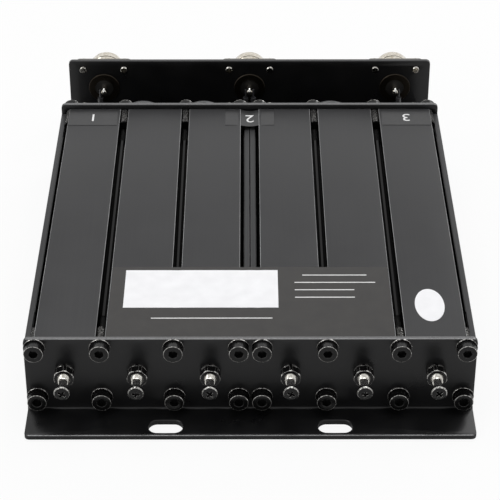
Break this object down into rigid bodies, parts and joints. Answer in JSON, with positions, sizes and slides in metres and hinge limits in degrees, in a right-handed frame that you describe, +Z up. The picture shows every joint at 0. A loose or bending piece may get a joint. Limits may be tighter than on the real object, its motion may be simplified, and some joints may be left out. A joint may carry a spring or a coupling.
{
  "type": "cavity duplexer",
  "caption": "Flat mobile-radio cavity duplexer: extruded cavity body between two folded brackets, tuning screws in front, panel jacks behind, slotted mounting flange.",
  "frame": {"origin": "middle of the base, under the centre of the overall box", "axes": "+Z up, +Y from the tuning screws to the jacks, +X to the right seen from the tuning screws"},
  "size_m": [0.162, 0.2446, 0.0337],
  "materials": {
    "black_sheet": "black powder coat",
    "black_anodised": "satin black anodised",
    "black_steel": "black oxide",
    "nickel": "nickel plated brass",
    "plated_rod": "nickel plated brass",
    "resonator_brass": "silver plated brass",
    "solder_brass": "tinned brass",
    "copper_wire": "silvered copper wire",
    "white_insulator": "white fluoropolymer",
    "black_insulator": "black moulded insulator",
    "cable_jacket": "black cable jacket",
    "grey_film": "dark grey printed film",
    "white_paper": "white label paper"
  },
  "bodies": {
    "duplexer": {"antenna_connector": "nickel", "antenna_contact": "nickel", "antenna_insulator": "black_insulator", "antenna_port_label": "grey_film", "connector_screws": "nickel", "coupling_beads": "white_insulator", "coupling_blocks": "solder_brass", "coupling_loops": "copper_wire", "front_bracket": "black_sheet", "front_screws": "black_steel", "front_washers": "black_steel", "inspection_sticker": "white_paper", "jumper_cables": "cable_jacket", "label_insert": "white_paper", "left_antenna_lead": "cable_jacket", "left_cavity_block": "black_anodised", "left_connector": "nickel", "left_contact": "nickel", "left_insulator": "black_insulator", "left_port_label": "grey_film", "left_port_lead": "cable_jacket", "lock_nuts": "black_steel", "rating_label": "grey_film", "rear_bracket": "black_sheet", "rear_screws": "black_steel", "rear_washers": "black_steel", "resonator_1": "resonator_brass", "resonator_2": "resonator_brass", "resonator_3": "resonator_brass", "resonator_4": "resonator_brass", "resonator_5": "resonator_brass", "resonator_6": "resonator_brass", "resonator_screws": "black_steel", "right_antenna_lead": "cable_jacket", "right_cavity_block": "black_anodised", "right_connector": "nickel", "right_contact": "nickel", "right_insulator": "black_insulator", "right_port_label": "grey_film", "right_port_lead": "cable_jacket", "tuning_washers": "black_steel"},
    "tuning_screw_1": {"tuning_rod_1": "plated_rod"},
    "tuning_screw_head_1": {"tuning_head_1": "black_steel"},
    "tuning_screw_2": {"tuning_rod_2": "plated_rod"},
    "tuning_screw_head_2": {"tuning_head_2": "black_steel"},
    "tuning_screw_3": {"tuning_rod_3": "plated_rod"},
    "tuning_screw_head_3": {"tuning_head_3": "black_steel"},
    "tuning_screw_4": {"tuning_rod_4": "plated_rod"},
    "tuning_screw_head_4": {"tuning_head_4": "black_steel"},
    "tuning_screw_5": {"tuning_rod_5": "plated_rod"},
    "tuning_screw_head_5": {"tuning_head_5": "black_steel"},
    "tuning_screw_6": {"tuning_rod_6": "plated_rod"},
    "tuning_screw_head_6": {"tuning_head_6": "black_steel"}
  },
  "joints": [
    {"name": "tuning_slide_1", "type": "slide", "parent": "duplexer", "child": "tuning_screw_1", "axis": [0, 1, 0], "range_m": [-0.006, 0.0045]},
    {"name": "tuning_turn_1", "type": "hinge", "parent": "tuning_screw_1", "child": "tuning_screw_head_1", "pos_m": [-0.0668, -0.118, 0.0185], "axis": [0, 1, 0], "range_deg": [-3100, 2330]},
    {"name": "tuning_slide_2", "type": "slide", "parent": "duplexer", "child": "tuning_screw_2", "axis": [0, 1, 0], "range_m": [-0.006, 0.0045]},
    {"name": "tuning_turn_2", "type": "hinge", "parent": "tuning_screw_2", "child": "tuning_screw_head_2", "pos_m": [-0.0406, -0.118, 0.0185], "axis": [0, 1, 0], "range_deg": [-3100, 2330]},
    {"name": "tuning_slide_3", "type": "slide", "parent": "duplexer", "child": "tuning_screw_3", "axis": [0, 1, 0], "range_m": [-0.006, 0.0045]},
    {"name": "tuning_turn_3", "type": "hinge", "parent": "tuning_screw_3", "child": "tuning_screw_head_3", "pos_m": [-0.0144, -0.118, 0.0185], "axis": [0, 1, 0], "range_deg": [-3100, 2330]},
    {"name": "tuning_slide_4", "type": "slide", "parent": "duplexer", "child": "tuning_screw_4", "axis": [0, 1, 0], "range_m": [-0.006, 0.0045]},
    {"name": "tuning_turn_4", "type": "hinge", "parent": "tuning_screw_4", "child": "tuning_screw_head_4", "pos_m": [0.0144, -0.118, 0.0185], "axis": [0, 1, 0], "range_deg": [-3100, 2330]},
    {"name": "tuning_slide_5", "type": "slide", "parent": "duplexer", "child": "tuning_screw_5", "axis": [0, 1, 0], "range_m": [-0.006, 0.0045]},
    {"name": "tuning_turn_5", "type": "hinge", "parent": "tuning_screw_5", "child": "tuning_screw_head_5", "pos_m": [0.0406, -0.118, 0.0185], "axis": [0, 1, 0], "range_deg": [-3100, 2330]},
    {"name": "tuning_slide_6", "type": "slide", "parent": "duplexer", "child": "tuning_screw_6", "axis": [0, 1, 0], "range_m": [-0.006, 0.0045]},
    {"name": "tuning_turn_6", "type": "hinge", "parent": "tuning_screw_6", "child": "tuning_screw_head_6", "pos_m": [0.0668, -0.118, 0.0185], "axis": [0, 1, 0], "range_deg": [-3100, 2330]}
  ],
  "couplings": [
    {"joint": "tuning_turn_1", "follows": "tuning_slide_1", "rad_per_m": 8976},
    {"joint": "tuning_turn_2", "follows": "tuning_slide_2", "rad_per_m": 8976},
    {"joint": "tuning_turn_3", "follows": "tuning_slide_3", "rad_per_m": 8976},
    {"joint": "tuning_turn_4", "follows": "tuning_slide_4", "rad_per_m": 8976},
    {"joint": "tuning_turn_5", "follows": "tuning_slide_5", "rad_per_m": 8976},
    {"joint": "tuning_turn_6", "follows": "tuning_slide_6", "rad_per_m": 8976}
  ]
}
